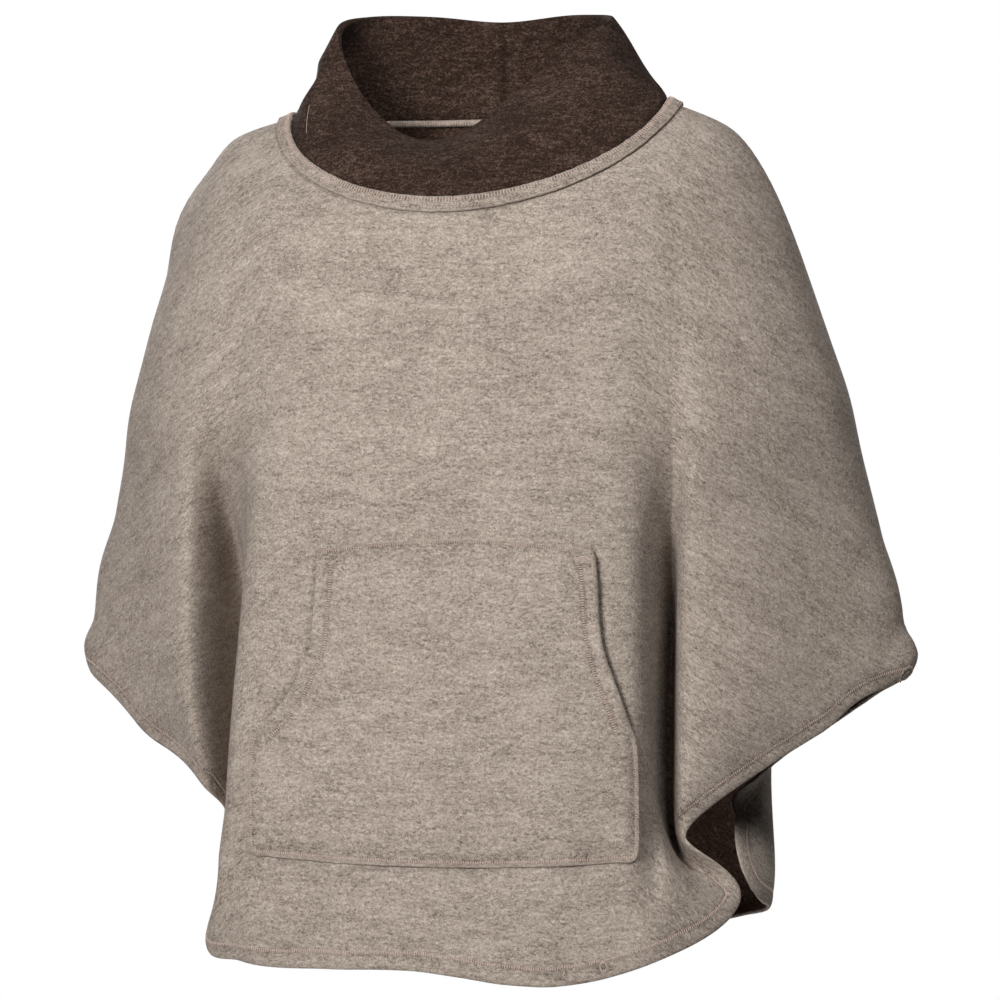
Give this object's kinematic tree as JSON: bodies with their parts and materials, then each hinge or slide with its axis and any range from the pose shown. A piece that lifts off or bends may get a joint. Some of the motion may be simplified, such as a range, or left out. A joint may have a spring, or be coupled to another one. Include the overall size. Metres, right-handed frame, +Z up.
{
  "type": "wool poncho",
  "caption": "Hip-length pullover poncho in double-faced wool fleece, with batwing sleeves, a funnel collar, a turned-down neck band and a kangaroo pocket.",
  "frame": {"origin": "middle of the neck at shoulder height, where the wearer's shoulders hold the poncho", "axes": "+Z up, -Y the front of the poncho, +X the wearer's left"},
  "size_m": [0.6404, 0.3074, 0.7219],
  "materials": {
    "light_wool": "brushed beige-grey heather outside, dark brown inside",
    "dark_wool": "brushed dark brown"
  },
  "bodies": {
    "root": {"front": "light_wool", "back": "light_wool", "neck_band": "light_wool", "pocket": "light_wool", "collar": "dark_wool"}
  },
  "joints": []
}
